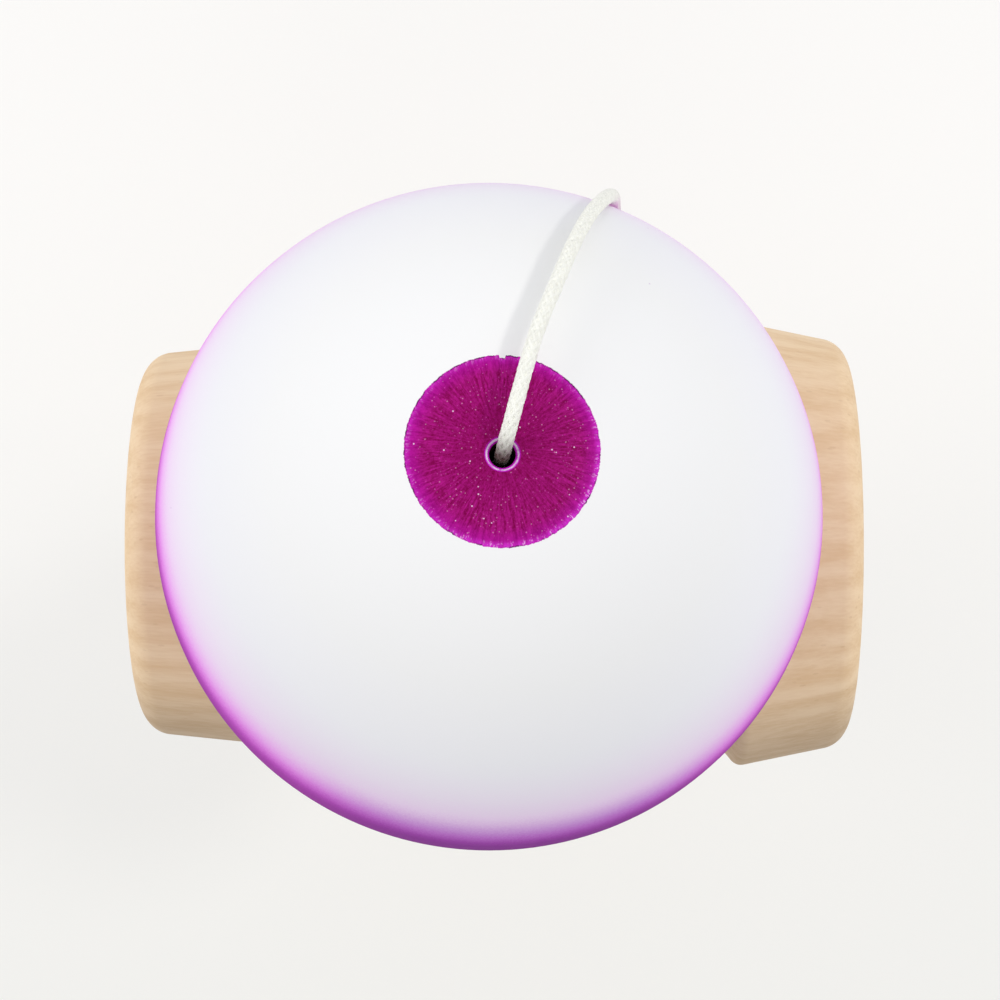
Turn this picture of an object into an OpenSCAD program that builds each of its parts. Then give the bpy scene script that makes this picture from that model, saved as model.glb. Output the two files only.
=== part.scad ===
// Cup and ball toy, standing on its base cup with the ball on the spike.
// A turned handle carries a base cup below and a spike above. A cross-piece with a big and a small cup
// is pushed down over the spike, and the ball sits in the saddle between the two cups, held by a string.
// Z runs up the handle, X points to the big cup, and Z = 0 is the plane of the base cup's rim.

/* [Ball] */
// Diameter of the ball
ball_d = 60; // [56:0.5:62]
// Diameter of the hole that takes the spike
ball_hole_d = 22; // [20:0.5:24]
// Width of the bevel round the mouth of that hole
ball_hole_bevel = 1.5; // [0.5:0.1:2.5]
// Wood left above that hole
ball_roof = 8; // [6:0.5:9]
// Lean of the ball on the spike, in degrees
ball_lean = 6.4; // [0:0.2:8]
// Way that the ball leans, in degrees turned from X towards Y
ball_lean_dir = 62; // [0:1:360]
// Diameter of the string hole through the top of the ball
string_hole_d = 2.1; // [1.8:0.1:2.6]
// Width of the bevel round the mouth of the string hole
string_hole_bevel = 0.4; // [0.2:0.05:0.6]

/* [Cross-piece] */
// Length from rim to rim
cross_len = 72.8; // [70:0.2:78]
// Height of its axis above the base cup's rim
cross_z = 110; // [104:0.5:114]
// Widest diameter of the big cup, at its shoulder
big_cup_d = 46.2; // [44:0.2:48]
// Diameter of the big cup behind its lip
big_rim_d = 42.8; // [41:0.2:45]
// Depth of the big cup's bowl
big_bowl_depth = 9.5; // [7:0.5:12]
// Widest diameter of the small cup, at its shoulder
small_cup_d = 42; // [39:0.1:43]
// Diameter of the small cup behind its lip
small_rim_d = 40; // [38:0.2:41.4]
// Depth of the small cup's bowl
small_bowl_depth = 8.5; // [6.5:0.5:11]
// Radius of the round lip of both cups
lip_r = 2.8; // [1.6:0.1:3.4]
// Radius of the round shoulder behind both cups
shoulder_r = 1.2; // [0.6:0.1:1.8]
// Diameter of the waist between the cups
waist_d = 21; // [19.5:0.5:23]
// Depth of the recess below, from the axis up to where the handle seats
seat_drop = 8.5; // [7.5:0.1:9.2]

/* [Handle] */
// Length from the base cup's rim to the tip of the spike
handle_len = 160; // [154:0.5:161.5]
// Diameter of the spike's round tip
spike_tip_d = 5.2; // [4:0.1:6]
// Diameter of the taper at the seat
taper_low_d = 13.2; // [12.4:0.1:14]
// Diameter of the taper at the top of the cross-piece
taper_top_d = 12; // [11:0.1:12.4]
// Diameter of the grip at the seat
grip_d = 20; // [18:0.5:20.5]
// Radius of the edge round the seat
grip_edge_r = 1.2; // [0.4:0.1:2]
// Height at which the grip reaches that diameter
grip_full_z = 86; // [70:1:95]
// Diameter of the grip at its thinnest
grip_thin_d = 16.6; // [15:0.2:18]
// Height of the thinnest place of the grip
grip_thin_z = 34; // [32:0.5:40]
// Diameter of the ridge that stops the hand
ridge_d = 21; // [19:0.5:24]
// Height of the ridge
ridge_z = 26; // [25:0.5:29]
// Diameter of the neck above the base cup
neck_d = 16; // [14:0.2:17]
// Height of the neck
neck_z = 19; // [17:0.5:22]

/* [Base cup] */
// Widest diameter of the base cup, at its shoulder
base_cup_d = 38; // [35:0.5:40]
// Height of the middle of that shoulder
base_shoulder_z = 9; // [7:0.5:11]
// Diameter of the base cup above its lip
base_rim_d = 36; // [33:0.5:37.5]
// Radius of the lip's outer edge
base_lip_r = 2; // [1:0.1:2.5]
// Width of the flat ring that the toy stands on
base_land = 1.2; // [0.8:0.1:2]
// Depth of the base cup's bowl
base_bowl_depth = 7; // [5.5:0.5:9]

/* [String, bead and knots] */
// Diameter of the string
string_d = 1.4; // [1.2:0.1:1.6]
// Diameter of the holes for the string in the cross-piece and the handle
tie_hole_d = 2.4; // [2:0.1:3]
// Diameter of the bead inside the ball
bead_d = 6.5; // [5.5:0.1:8]
// Length of the bead
bead_len = 5.6; // [4.5:0.1:6]
// Diameter of the hole through the bead
bead_hole_d = 2; // [1.8:0.1:2.6]
// Diameter of both knots
knot_d = 3.8; // [3.2:0.1:4.2]
// Length of both knots
knot_len = 3.2; // [2.6:0.1:3.6]
// Diameter of the pocket in the back of the taper that hides the knot
knot_pocket_d = 4.8; // [4.4:0.1:5.4]

/* [Clearances] */
// Gap between the ball and the bottom of the saddle
seat_gap = 0.2; // [0.1:0.05:0.4]
// How much wider than the ball the saddle is curved
saddle_ease = 1; // [0.5:0.1:2]
// Gap round the taper in the cross-piece's bore
taper_gap = 0.04; // [0.02:0.01:0.1]
// Gap round the grip in the recess below the cross-piece
recess_gap = 0.4; // [0.2:0.1:0.8]
// Gap between the bead and the end of the ball's hole
bead_gap = 0.2; // [0.1:0.05:0.5]
// Gap between two lengths of string that meet, and between a knot and what it holds
string_gap = 0.05; // [0.02:0.01:0.1]

/* [Hidden] */
$fn = 96;

beech = [0.89, 0.76, 0.63];
ball_white = [0.95, 0.95, 0.96];
bead_white = [0.92, 0.91, 0.88];
string_white = [0.93, 0.93, 0.9];

// Steps that a quarter turn of a round edge is drawn in
arc_steps = 8;

// Cross-piece, drawn along its own axis
half_len = cross_len / 2;
waist_r = waist_d / 2;
saddle_r = ball_d / 2 + saddle_ease;
saddle_mid = waist_r + saddle_r;

// Handle and ball on the same axis
seat_z = cross_z - seat_drop;
taper_top_z = cross_z + waist_r + saddle_ease;
ball_r = ball_d / 2;
ball_z = cross_z + waist_r + ball_r + seat_gap;
spike_tip_r = spike_tip_d / 2;

// Distances from the ball's centre up its own axis
roof_at = ball_r - ball_roof;
bead_at = roof_at - bead_gap - bead_len / 2;
ball_knot_at = bead_at - bead_len / 2 - string_gap - knot_len / 2;
string_start = 2.5;

// The handle's knot sits in a pocket behind the handle's axis
knot_seat_y = 2.2;
handle_knot_y = knot_seat_y + string_gap + knot_len / 2;
tie_mouth_y = -waist_r - 0.3;

// The string over the ball: angle from the ball's axis, angle to the side of its lean, and the height of
// the string's middle above the ball
string_over_ball = [[0, 13, -string_start], [0, 13, -1.2], [0.6, 13, 0.2], [1.9, 13, 1.3], [3.9, 13, 2.1],
    [6.2, 13, 2.45], [9, 13, 2.4], [13, 13, 2.4], [19, 12.5, 2.4], [27, 11, 2.3], [37, 10, 2.1],
    [48, 9, 1.6], [60, 7.8, 1.05], [72, 7, 0.85], [84, 6.5, 0.85]];
// From there it hangs behind the ball, lies beside the base cup and rises to the cross-piece's front
string_free = [[11.6, 28.3, 138], [11.6, 28.3, 110], [11.8, 28.4, 45], [12.3, 28.7, 25], [13.5, 29.2, 12],
    [16, 28.8, 4.5], [19, 27, 1.3], [22, 23.6, 0.8], [24, 19, 0.8], [24.8, 14, 0.8], [24.5, 9.8, 1.6],
    [23.6, 6.2, 4.8], [22.2, 3.2, 11], [20.2, 0.2, 20.5], [17.5, -3, 33.5], [14, -6.5, 49],
    [9.5, -10.5, 68], [5, -14.2, 86], [1.8, -16.6, 98.5]];
// Its last points, from the mouth of the hole in the cross-piece
string_to_tie = [[0.6, -6.4, -6.4], [0.3, -6.4, -4.2], [0.1, -5.8, -2.1], [0, -4.3, -0.6], [0, -2.2, 0],
    [0, 0, 0]];
// Length of string between two rings of its tube
ring_step = 4.6;
string_sides = 8;

// Points along an arc round c, from angle a0 to angle a1
function arc(c, r, a0, a1) =
    let (n = max(2, ceil(arc_steps * abs(a1 - a0) / 90)))
    [for (i = [0 : n]) c + r * [cos(a0 + (a1 - a0) * i / n), sin(a0 + (a1 - a0) * i / n)]];

// Angle of the outward normal of the straight side that touches two round edges
function side_angle(c1, r1, c2, r2) =
    let (d = c2 - c1)
    atan2(d[1], d[0]) - acos((r1 - r2) / norm(d));

// Half outline of a cup from the middle of its bowl back to its saddle, as [radius, distance from waist]
function cup_outline(cup_d, rim_d, depth) =
    let (lip = [rim_d / 2 - lip_r, half_len - lip_r],
        bowl_r = (lip[0] * lip[0] + depth * depth) / (2 * depth) - lip_r,
        bowl = [0, half_len - depth + bowl_r],
        meet = atan2(bowl[1] - lip[1], -lip[0]),
        edge_r = cup_d / 2 - shoulder_r,
        edge = [edge_r, sqrt(pow(saddle_r + shoulder_r, 2) - pow(saddle_mid - edge_r, 2))],
        side = side_angle(edge, shoulder_r, lip, lip_r),
        saddle = atan2(-edge[1], saddle_mid - edge[0]))
    concat(arc(bowl, bowl_r, -90, meet - 180), arc(lip, lip_r, meet, side),
        arc(edge, shoulder_r, side, saddle));

// Half outline of the waist between the two shoulders
function saddle_outline(from, to) =
    arc([saddle_mid, 0], saddle_r, 360 + atan2(from[1], from[0] - saddle_mid),
        atan2(to[1], to[0] - saddle_mid));

// Smooth swell from one [radius, height] to the next, level at both ends
function swell(p, q) =
    [for (i = [0 : arc_steps]) let (t = i / arc_steps)
        [p[0] + (q[0] - p[0]) * (1 - cos(180 * t)) / 2, p[1] + (q[1] - p[1]) * t]];

// Half outline of the handle from the middle of the base cup's bowl up to the tip
function handle_outline() =
    let (lip = [base_rim_d / 2 - base_lip_r, base_lip_r],
        bowl_edge = lip[0] - base_land,
        bowl_r = (bowl_edge * bowl_edge + base_bowl_depth * base_bowl_depth) / (2 * base_bowl_depth),
        bowl = [0, base_bowl_depth - bowl_r],
        edge = [base_cup_d / 2 - shoulder_r, base_shoulder_z],
        side = side_angle(lip, base_lip_r, edge, shoulder_r),
        cove = [edge[0], neck_z],
        cove_size = [edge[0] - neck_d / 2, neck_z - edge[1] - shoulder_r],
        grip_edge = [grip_d / 2 - grip_edge_r, seat_z - grip_edge_r],
        spike_foot = [taper_top_d / 2, taper_top_z],
        tip = [0, handle_len - spike_tip_r],
        tip_from = atan2(spike_foot[1] - tip[1], spike_foot[0]) + acos(spike_tip_r / norm(spike_foot - tip)))
    concat(arc(bowl, bowl_r, 90, atan2(-bowl[1], bowl_edge)),
        arc(lip, base_lip_r, -90, side),
        arc(edge, shoulder_r, side, 90),
        [for (i = [1 : 2 * arc_steps]) let (a = 45 * i / arc_steps)
            [cove[0] - cove_size[0] * sin(a), cove[1] - cove_size[1] * cos(a)]],
        swell([neck_d / 2, neck_z], [ridge_d / 2, ridge_z]),
        swell([ridge_d / 2, ridge_z], [grip_thin_d / 2, grip_thin_z]),
        swell([grip_thin_d / 2, grip_thin_z], [grip_d / 2, grip_full_z]),
        arc(grip_edge, grip_edge_r, 0, 90),
        [[taper_low_d / 2, seat_z], spike_foot],
        arc(tip, spike_tip_r, tip_from, 90));

// Outline points with no two in the same place
function tidy(points) =
    [for (i = [0 : len(points) - 1]) if (i == 0 || norm(points[i] - points[max(0, i - 1)]) > 0.001) points[i]];

// A place given from the ball's centre along the leaning ball's own axes
function lean_point(p) =
    let (x = p[0] * cos(ball_lean) + p[2] * sin(ball_lean),
        z = p[2] * cos(ball_lean) - p[0] * sin(ball_lean))
    [x * cos(ball_lean_dir) - p[1] * sin(ball_lean_dir), x * sin(ball_lean_dir) + p[1] * cos(ball_lean_dir),
        ball_z + z];
function over_ball(p) =
    lean_point((ball_r + p[2]) * [sin(p[0]) * cos(p[1]), sin(p[0]) * sin(p[1]), cos(p[0])]);

// A smooth curve through the string's points
string_points = concat([for (p = string_over_ball) over_ball(p)], string_free,
    [for (p = string_to_tie) [0, tie_mouth_y, cross_z] + p]);
function curve_at(a, b, c, d, t) =
    (2 * b + (c - a) * t + (2 * a - 5 * b + 4 * c - d) * t * t + (3 * b - a - 3 * c + d) * t * t * t) / 2;
function curve(points) =
    let (last = len(points) - 1)
    concat([for (i = [0 : last - 1])
        let (b = points[i], c = points[i + 1],
            a = i == 0 ? 2 * b - c : points[i - 1],
            d = i == last - 1 ? 2 * c - b : points[i + 2],
            n = max(1, round(norm(c - b) / ring_step)))
        for (k = [0 : n - 1]) curve_at(a, b, c, d, k / n)], [points[last]]);
function unit(v) = v / norm(v);
function heading(line, i) = unit(line[min(i + 1, len(line) - 1)] - line[max(i - 1, 0)]);
function square_to(v, t) = unit(v - (v * t) * t);
function run_length(line) =
    [for (i = 0, sum = 0; i < len(line); i = i + 1,
        sum = sum + (i < len(line) ? norm(line[i] - line[i - 1]) : 0)) sum][len(line) - 1];

string_line = curve(string_points);
echo(free_string_mm = run_length(string_line), rings = len(string_line));

// A round tube along a line, with each ring turned as little as possible from the last
module tube(line, d, sides) {
    last = len(line) - 1;
    ups = [for (i = 0, up = square_to([1, 0, 0], heading(line, 0)); i <= last; i = i + 1,
        up = i <= last ? square_to(up, heading(line, i)) : up) up];
    rings = [for (i = [0 : last]) let (up = ups[i], out = cross(heading(line, i), up))
        for (k = [0 : sides - 1]) line[i] + d / 2 * (cos(360 * k / sides) * up + sin(360 * k / sides) * out)];
    walls = [for (i = [0 : last - 1], k = [0 : sides - 1])
        let (a = i * sides + k, b = i * sides + (k + 1) % sides)
        each [[a, a + sides, b], [b, a + sides, b + sides]]];
    start = [for (k = [1 : sides - 2]) [0, k, k + 1]];
    end = last * sides;
    finish = [for (k = [1 : sides - 2]) [end, end + k + 1, end + k]];
    polyhedron(rings, concat(walls, start, finish));
}

// Puts what is drawn round the origin onto the leaning ball
module on_ball() {
    translate([0, 0, ball_z]) rotate([0, 0, ball_lean_dir]) rotate([0, ball_lean, 0]) children();
}

// A knot drawn tight, with its axis along Z
module knot() {
    intersection() {
        sphere(d = knot_d);
        cube([knot_d, knot_d, knot_len], center = true);
    }
}

// The turned handle: base cup, hand grip, taper for the cross-piece and spike in one piece
module handle() {
    color(beech) difference() {
        rotate_extrude() polygon(tidy(handle_outline()));
        translate([0, 0, cross_z]) rotate([90, 0, 0]) cylinder(d = tie_hole_d, h = 2 * grip_d, center = true);
        translate([0, knot_seat_y, cross_z]) rotate([-90, 0, 0]) cylinder(d = knot_pocket_d, h = grip_d);
    }
}

// The cross-piece: two cups back to back with a saddle between them, bored for the taper
module cross_piece() {
    small = cup_outline(small_cup_d, small_rim_d, small_bowl_depth);
    big = cup_outline(big_cup_d, big_rim_d, big_bowl_depth);
    small_side = [for (p = small) [p[0], -p[1]]];
    big_side = [for (i = [len(big) - 1 : -1 : 0]) big[i]];
    bore_low = taper_low_d / 2 + taper_gap;
    bore_top = taper_top_d / 2 + taper_gap;
    color(beech) difference() {
        translate([0, 0, cross_z]) rotate([0, 90, 0]) rotate_extrude()
            polygon(tidy(concat(small_side,
                saddle_outline(small_side[len(small_side) - 1], big_side[0]), big_side)));
        translate([0, 0, seat_z]) cylinder(h = taper_top_z - seat_z, r1 = bore_low, r2 = bore_top);
        translate([0, 0, taper_top_z]) cylinder(h = ball_r, r = bore_top);
        translate([0, 0, seat_z - big_cup_d]) cylinder(h = big_cup_d, d = grip_d + 2 * recess_gap);
        translate([0, 0, cross_z]) rotate([90, 0, 0]) cylinder(d = tie_hole_d, h = big_cup_d);
    }
}

// The ball, with the spike's hole from below and the string hole from above
module ball() {
    hole_r = ball_hole_d / 2;
    hole_mouth_r = hole_r + ball_hole_bevel;
    hole_mouth = sqrt(ball_r * ball_r - hole_mouth_r * hole_mouth_r);
    string_hole_r = string_hole_d / 2;
    string_mouth_r = string_hole_r + string_hole_bevel;
    string_mouth = sqrt(ball_r * ball_r - string_mouth_r * string_mouth_r);
    color(ball_white) on_ball() difference() {
        sphere(d = ball_d);
        translate([0, 0, -ball_d]) cylinder(r = hole_r, h = ball_d + roof_at);
        translate([0, 0, -hole_mouth]) cylinder(r1 = hole_mouth_r, r2 = hole_r, h = ball_hole_bevel);
        translate([0, 0, -hole_mouth - ball_r]) cylinder(r = hole_mouth_r, h = ball_r);
        cylinder(r = string_hole_r, h = ball_d);
        translate([0, 0, string_mouth - string_hole_bevel])
            cylinder(r1 = string_hole_r, r2 = string_mouth_r, h = string_hole_bevel);
        translate([0, 0, string_mouth]) cylinder(r = string_mouth_r, h = ball_r);
    }
}

// The bead that stops the string from pulling out through the top of the ball
module bead() {
    color(bead_white) on_ball() translate([0, 0, bead_at]) difference() {
        intersection() {
            sphere(d = bead_d);
            cube([bead_d, bead_d, bead_len], center = true);
        }
        cylinder(d = bead_hole_d, h = 2 * bead_d, center = true);
    }
}

// The knot under the bead
module ball_knot() {
    color(string_white) on_ball() translate([0, 0, ball_knot_at]) knot();
}

// The string from that knot through the bead and up the ball's string hole
module string_ball_end() {
    from = ball_knot_at + knot_len / 2;
    color(string_white) on_ball() translate([0, 0, from])
        cylinder(d = string_d, h = ball_r - string_start - string_gap - from);
}

// The string in the open, from the ball's string hole to the front of the cross-piece
module string() {
    color(string_white) tube(string_line, string_d, string_sides);
}

// The string through the cross-piece and the handle's taper, as far as the knot
module string_handle_end() {
    from = tie_mouth_y + string_gap;
    color(string_white) translate([0, from, cross_z]) rotate([-90, 0, 0])
        cylinder(d = string_d, h = handle_knot_y - knot_len / 2 - from);
}

// The knot in the pocket behind the taper
module handle_knot() {
    color(string_white) translate([0, handle_knot_y, cross_z]) rotate([-90, 0, 0]) knot();
}

handle();
cross_piece();
ball();
bead();
ball_knot();
string_ball_end();
string();
string_handle_end();
handle_knot();
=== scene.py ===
"""Dresses the cup and ball toy: beech handle and cross-piece, painted ball and braided string."""

import math

import bpy
from mathutils import Euler, Matrix, Vector


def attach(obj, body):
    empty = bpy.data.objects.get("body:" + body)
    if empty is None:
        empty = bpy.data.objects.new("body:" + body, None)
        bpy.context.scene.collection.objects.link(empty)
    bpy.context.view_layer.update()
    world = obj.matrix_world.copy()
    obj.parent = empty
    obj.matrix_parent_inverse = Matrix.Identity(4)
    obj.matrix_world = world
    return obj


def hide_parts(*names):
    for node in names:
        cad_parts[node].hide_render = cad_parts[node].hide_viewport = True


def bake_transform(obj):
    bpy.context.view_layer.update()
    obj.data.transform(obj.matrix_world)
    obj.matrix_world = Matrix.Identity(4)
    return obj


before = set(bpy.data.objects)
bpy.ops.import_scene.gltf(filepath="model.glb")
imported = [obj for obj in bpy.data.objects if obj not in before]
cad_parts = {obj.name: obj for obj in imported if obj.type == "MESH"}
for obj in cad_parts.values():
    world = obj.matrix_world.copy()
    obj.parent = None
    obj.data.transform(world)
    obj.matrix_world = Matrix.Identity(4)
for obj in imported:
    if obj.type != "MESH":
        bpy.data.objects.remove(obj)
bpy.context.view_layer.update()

MM = 0.001
QUARTER = math.pi / 2
FULL_TURN = 2 * math.pi


def srgb(red, green, blue):
    """A colour as an eye reads it, 0 to 255, in the linear values that a shader takes."""
    def linear(value):
        value /= 255
        return value / 12.92 if value <= 0.04045 else ((value + 0.055) / 1.055) ** 2.4
    return (linear(red), linear(green), linear(blue), 1)


# Ball, in millimetres from its centre. It leans this far, in degrees, and that way round.
BALL_R = 30
BALL_CENTRE = (0, 0, 150.7)
BALL_LEAN = (6.4, 62)
BALL_HOLE_R = 11
BALL_HOLE_BEVEL = 1.5
BALL_ROOF = 22
ROOF_RING_R = 5
STRING_HOLE_R = 1.05
STRING_HOLE_BEVEL = 0.4
STRING_BEVEL_R = STRING_HOLE_R + STRING_HOLE_BEVEL

# Cross-piece. A cup is its shoulder's diameter, its rim's diameter and its bowl's depth.
CROSS_Z = 110
HALF_LEN = 36.4
BIG_CUP = (46.2, 42.8, 9.5)
SMALL_CUP = (42, 40, 8.5)
LIP_R = 2.8
SHOULDER_R = 1.2
WAIST_R = 10.5
SADDLE_R = 31
SADDLE_MID = WAIST_R + SADDLE_R
SEAT_Z = 101.5
BORE_LOW_R = 6.64
BORE_TOP_R = 6.04
RECESS_R = 10.4
TIE_HOLE_R = 1.2
CUT_LEN = 20
CUT_OVERLAP = 0.5

# Handle. The grip's thinnest place, ridge and neck are each a radius and a height.
HANDLE_LEN = 160
TIP_R = 2.6
TAPER_LOW_R = 6.6
TAPER_TOP_R = 6
TAPER_TOP_Z = 121.5
GRIP_R = 10
GRIP_EDGE_R = 1.2
GRIP_FULL_Z = 86
GRIP_THIN = (8.3, 34)
RIDGE = (10.5, 26)
NECK = (8, 19)
BASE_RIM_R = 18
BASE_LIP_R = 2
BASE_LAND = 1.2
BASE_BOWL_DEPTH = 7
BASE_R = 19
BASE_SHOULDER_Z = 9
KNOT_POCKET_R = 2.4
KNOT_POCKET_Y = 2.2
HANDLE_CUT = 15

# String, bead and knots
BEAD_AT = 19
BEAD_R = 3.25
BEAD_LEN = 5.6
BEAD_HOLE_R = 1
BALL_KNOT_AT = 14.55
HANDLE_KNOT_Y = 3.85
KNOT_LEN = 3.2
KNOT_POINTS = 96
KNOT_SIZE = 0.42
KNOT_DEPTH = 2.2
STRING_GAP = 0.05
STRING_START = 2.5
TIE_MOUTH_Y = -10.8

# The string over the ball: angle from the ball's axis, angle to the side of its lean, and height
# above the ball
STRING_OVER_BALL = [
    (0, 13, -STRING_START), (0, 13, -1.2), (0.6, 13, 0.2), (1.9, 13, 1.3), (3.9, 13, 2.1),
    (6.2, 13, 2.45), (9, 13, 2.4), (13, 13, 2.4), (19, 12.5, 2.4), (27, 11, 2.3), (37, 10, 2.1),
    (48, 9, 1.6), (60, 7.8, 1.05), (72, 7, 0.85), (84, 6.5, 0.85),
]
# Down behind the ball, beside the base cup and up to the front of the cross-piece
STRING_FREE = [
    (11.6, 28.3, 138), (11.6, 28.3, 110), (11.8, 28.4, 45), (12.3, 28.7, 25), (13.5, 29.2, 12),
    (16, 28.8, 4.5), (19, 27, 1.3), (22, 23.6, 0.8), (24, 19, 0.8), (24.8, 14, 0.8),
    (24.5, 9.8, 1.6), (23.6, 6.2, 4.8), (22.2, 3.2, 11), (20.2, 0.2, 20.5), (17.5, -3, 33.5),
    (14, -6.5, 49), (9.5, -10.5, 68), (5, -14.2, 86), (1.8, -16.6, 98.5),
]
# The last points, from the mouth of the hole in the cross-piece
STRING_TO_TIE = [
    (0.6, -6.4, -6.4), (0.3, -6.4, -4.2), (0.1, -5.8, -2.1), (0, -4.3, -0.6), (0, -2.2, 0),
    (0, 0, 0),
]
LINE_STEP = 0.5

# The braid, with a closer spacing where it is pulled out long, and its core
BRAID = {
    "Strands each way": 6, "Braid radius": 0.46 * MM, "Strand radius": 0.19 * MM,
    "Weave": 0.025 * MM, "Turn length": 5.4 * MM, "Sides": 5,
}
BRAID_SPACING = 0.27
PULLED_SPACING = 0.09
CORE_SIDES = 12
CORE_WIDTH = 1.14
CORE_SPACING = 3.0
STRAND_PLACE = "strand_place"

# Fineness of turned pieces: steps in a quarter of an arc, steps round, the gaps that are closed,
# and the angle from which an edge is sharp
ARC_STEPS = 22
WALL_STEPS = 12
STRING_HOLE_STEPS = 6
BALL_STEPS = 192
CROSS_STEPS = 180
HANDLE_STEPS = 128
BEAD_STEPS = 48
CUT_STEPS = 96
OUTLINE_GAP = 0.004
MERGE_GAP = 0.002
SHARP_ANGLE = 32

# Beech: its tones, and its growth rings and darker heart in millimetres from the tree's middle;
# the darker heart is the handle's own tone, and painted shade on the cross-piece's front
BEECH_PALE, BEECH_DARK = srgb(244, 217, 180), srgb(231, 198, 156)
HEART_AND_SHADE_PALE, HEART_AND_SHADE_DARK = srgb(190, 166, 138), srgb(172, 147, 117)
FLECK_BROWN, CLOUD_BROWN = srgb(176, 131, 92), srgb(196, 146, 104)
RING_WIDTH = 3.1
RING_WANDER = 4.0
HEART_AND_SHADE_EDGE = (16.0, 30.0)
# The cross-piece's tree middle lies in front, so there its darker heart is painted shade
CROSS_SHADE_PITH = (2 - CROSS_Z, -34, 0)
HANDLE_PITH = (-30, 28, 0)

# Paint on the ball: the fade's axis, and its colour at each angle from that axis, in degrees
FADE_AXIS = (0.07, 0.14, 0.988)
FADE_STOPS = [
    (40, (0.885, 0.885, 0.872)), (55, (0.886, 0.886, 0.904)), (58, (0.886, 0.874, 0.91)),
    (61.5, (0.888, 0.85, 0.916)), (65.5, (0.892, 0.812, 0.92)), (69.5, (0.894, 0.748, 0.922)),
    (71.5, (0.896, 0.696, 0.926)), (73.5, (0.896, 0.604, 0.92)), (75.5, (0.886, 0.496, 0.912)),
    (77.5, (0.848, 0.366, 0.874)), (79.5, (0.782, 0.244, 0.8)), (81.5, (0.656, 0.143, 0.675)),
    (83.5, (0.52, 0.077, 0.538)), (86, (0.4, 0.046, 0.42)), (92, (0.345, 0.034, 0.36)),
    (140, (0.29, 0.026, 0.305)),
]
HALF_TURN_DEG = 180.0
# Painted shade on the ball's lower edge in front, turned with the fade: the way to it, the angles
# at which it starts and ends, and how much it darkens the paint
FRONT_SHADE_WAY = (-0.852, -0.524, 0)
FRONT_SHADE_START = (70.0, 79.0)
FRONT_SHADE_END = (88.0, 112.0)
FRONT_SHADE_TONE = (0.74, 0.8, 0.83)
SPRAY_SPECK = srgb(176, 120, 190)

# The stained patch round the string hole
PATCH_AXIS = (0.0533, 0.1139, 0.9917)
PATCH_R = 7.93
PATCH_DARK, PATCH_PALE = srgb(118, 0, 62), srgb(178, 26, 134)
PATCH_VIOLET, VIOLET_FROM, VIOLET_SHARE = srgb(200, 20, 190), (6.2, 7.75), 0.36
FRINGE, BARE_NICK, EDGE_LINE = srgb(212, 52, 206), srgb(250, 196, 248), srgb(52, 4, 50)
EDGE_RAGGED = 0.34
STREAK_TURNS = 26.0
# Turned with the patch: the way to a small chip in its edge, and to its most worn side
CHIP_WAY = (0.906, 0.424, 0)
CHIP_SPAN = (0.99965, 0.99995)
CHIP_DEPTH = 0.26
WORN_WAY = (-0.49, -0.87, 0)
# Painted glints, from fine to bright: cells in a metre, size and share of cells, then colour
# and strength
PAINTED_GLINTS = [
    (4200, 0.26, 0.3, srgb(232, 120, 206), 0.25),
    (2600, 0.2, 0.4, srgb(230, 160, 196), 0.4),
    (1900, 0.16, 0.13, srgb(248, 214, 240), 0.75),
]
# The string hole's bevel, with its painted highlight, and painted shade inside the hole
BEVEL_PAINT, BEVEL_HIGHLIGHT = srgb(204, 26, 200), srgb(252, 222, 252)
STRING_HOLE_SHADE = srgb(58, 30, 28)

# String and bead, with painted shade on the string where it comes out of the ball's hole
STRING_GREY, STRING_WHITE = srgb(240, 240, 230), srgb(249, 249, 240)
STRING_SHADE, SHADE_SPAN = srgb(76, 52, 46), (2.1, 5.0)
BEAD_GREY, BEAD_WHITE = srgb(226, 222, 210), srgb(242, 239, 230)

# Camera: place in millimetres, tilt in degrees, lens and sensor in millimetres
CAMERA_PLACE = (4.2, -17.63, 405.06)
CAMERA_TILT = (4.3, 0.72)
CAMERA_LENS = 101.49
SENSOR = 36

# Studio: sky, floor, and each panel's place, size and power, in metres and watts
SKY_COLOUR, SKY_SEEN = srgb(248, 249, 255), srgb(249, 249, 246)
SKY_BASE, SKY_SIDES, SKY_FRONT_LOSS = 0.66, 0.38, 0.6
# The floor's colour, with painted shade in front, and the colour that it bounces
FLOOR_FRONT_SHADE, FLOOR_BACK = srgb(240, 240, 236), srgb(251, 250, 247)
FLOOR_BOUNCE = srgb(226, 225, 222)
FLOOR_SHADE_BLEND = (-0.09, 0.07)
FLOOR_GLOW = 0.5
FLOOR_REACH = 3
PANEL_COLOUR = (1, 0.985, 0.94)
PANELS = [
    ("left_panel", (-0.96, 0.06, 0.8), 0.7, 3.15),
    ("right_panel", (0.74, 0.13, 1.08), 0.16, 2.8),
    ("front_panel", (0.05, -0.62, 1.1), 0.5, 0.95),
]


def lean_turn(axis=None):
    """The turn that takes +Z to the ball's axis, or to another axis through its centre."""
    if axis is None:
        lean, side = (math.radians(a) for a in BALL_LEAN)
    else:
        lean, side = math.acos(Vector(axis).normalized().z), math.atan2(axis[1], axis[0])
    return Euler((0, lean, side))


def from_ball(point):
    """A place given from the ball's centre along the leaning ball's own axes."""
    return Vector(BALL_CENTRE) + lean_turn().to_matrix() @ Vector(point)


def over_ball(angle, side, height):
    """A place given by two angles and a height above the ball."""
    angle, side = math.radians(angle), math.radians(side)
    reach = BALL_R + height
    return from_ball((reach * math.sin(angle) * math.cos(side),
                      reach * math.sin(angle) * math.sin(side), reach * math.cos(angle)))


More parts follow.
